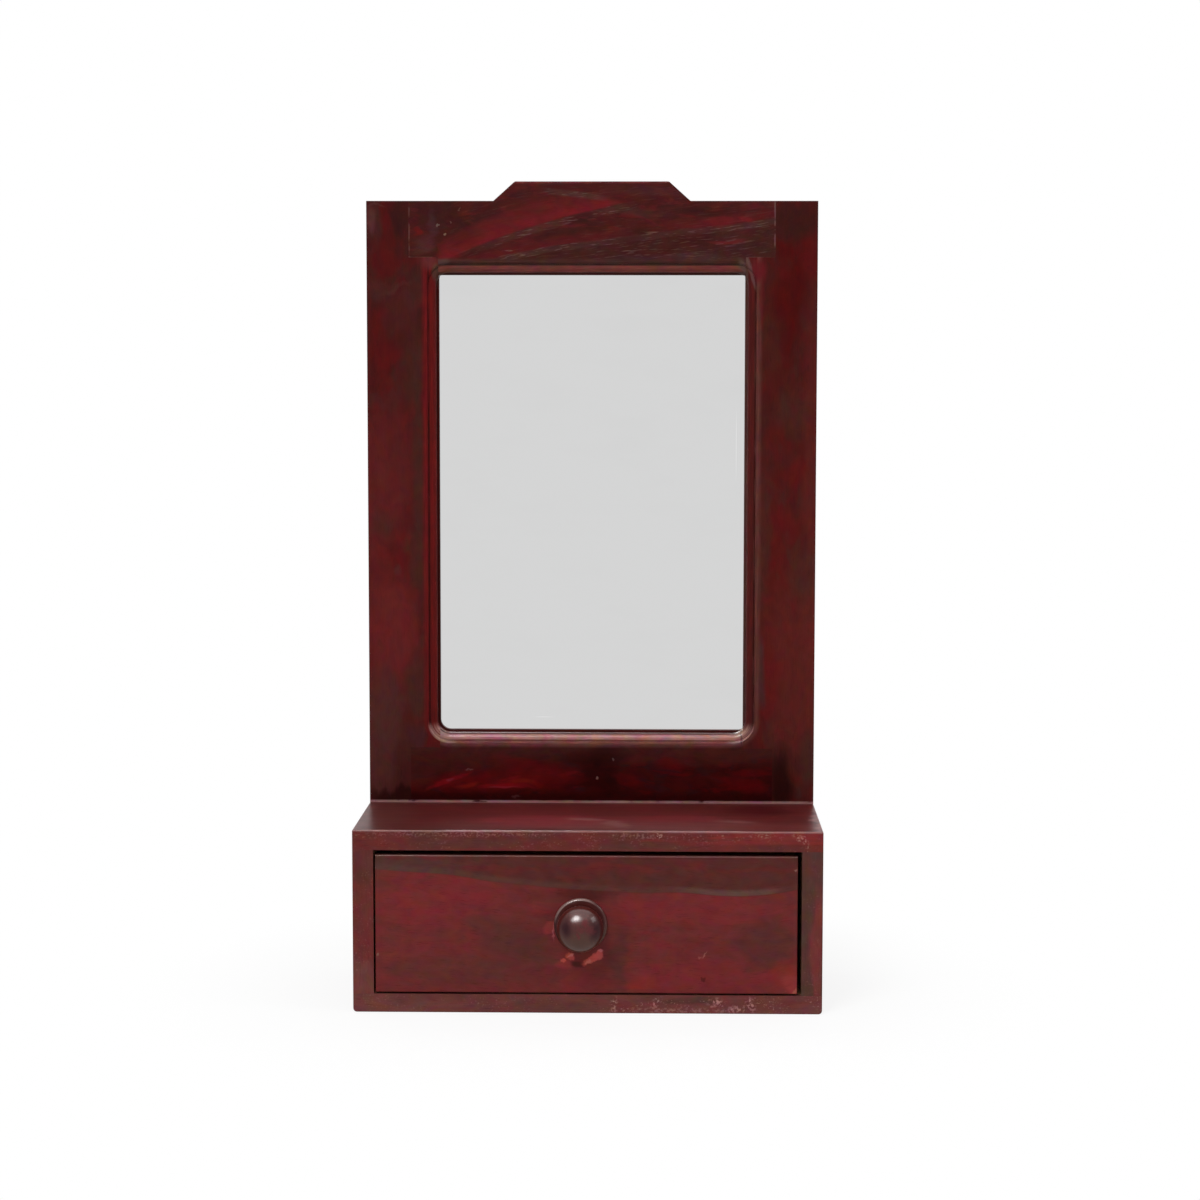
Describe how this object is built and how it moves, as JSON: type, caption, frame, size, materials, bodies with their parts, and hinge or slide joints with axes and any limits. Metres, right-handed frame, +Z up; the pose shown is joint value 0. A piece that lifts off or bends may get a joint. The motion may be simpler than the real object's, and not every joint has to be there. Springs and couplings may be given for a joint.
{
  "type": "wall mirror with drawer",
  "caption": "Upright rectangular mirror in a moulded wooden frame with a low raised crest, standing at the back of a shallow case with a sliding drawer and turned knob.",
  "frame": {"origin": "middle of the case's underside, on the surface the piece stands on", "axes": "+X to the viewer's right, +Y to the back, towards the wall, +Z up; the drawer opens towards -Y"},
  "size_m": [0.305, 0.156, 0.543],
  "materials": {
    "frame_lacquered_wood": "mottled dark red stain under semi-gloss lacquer",
    "case_lacquered_wood": "worn dark red stain under semi-gloss lacquer",
    "drawer_lacquered_wood": "dark red stain with a brown upper band, semi-gloss lacquer",
    "knob_lacquered_wood": "dark brown glossy lacquer",
    "bare_wood": "unfinished pale wood",
    "mirror_glass": "silvered glass",
    "steel": "plain steel"
  },
  "bodies": {
    "frame_and_case": {"left_stile": "frame_lacquered_wood", "right_stile": "frame_lacquered_wood", "top_rail": "frame_lacquered_wood", "bottom_rail": "frame_lacquered_wood", "mirror_glass": "mirror_glass", "backing_board": "bare_wood", "backing_pins": "steel", "left_hanger_plate": "steel", "right_hanger_plate": "steel", "hanger_screws": "steel", "frame_screws": "steel", "case_top": "case_lacquered_wood", "case_bottom": "case_lacquered_wood", "case_left_side": "case_lacquered_wood", "case_right_side": "case_lacquered_wood", "case_dowels": "bare_wood", "case_back": "bare_wood", "case_back_pins": "steel"},
    "drawer": {"drawer_front": "drawer_lacquered_wood", "drawer_left_side": "bare_wood", "drawer_right_side": "bare_wood", "drawer_back": "bare_wood", "drawer_bottom": "bare_wood", "drawer_pins": "steel", "drawer_knob": "knob_lacquered_wood", "knob_screw": "steel"}
  },
  "joints": [
    {"name": "drawer_slide", "type": "slide", "parent": "frame_and_case", "child": "drawer", "axis": [0, -1, 0], "range_m": [0, 0.1]}
  ]
}
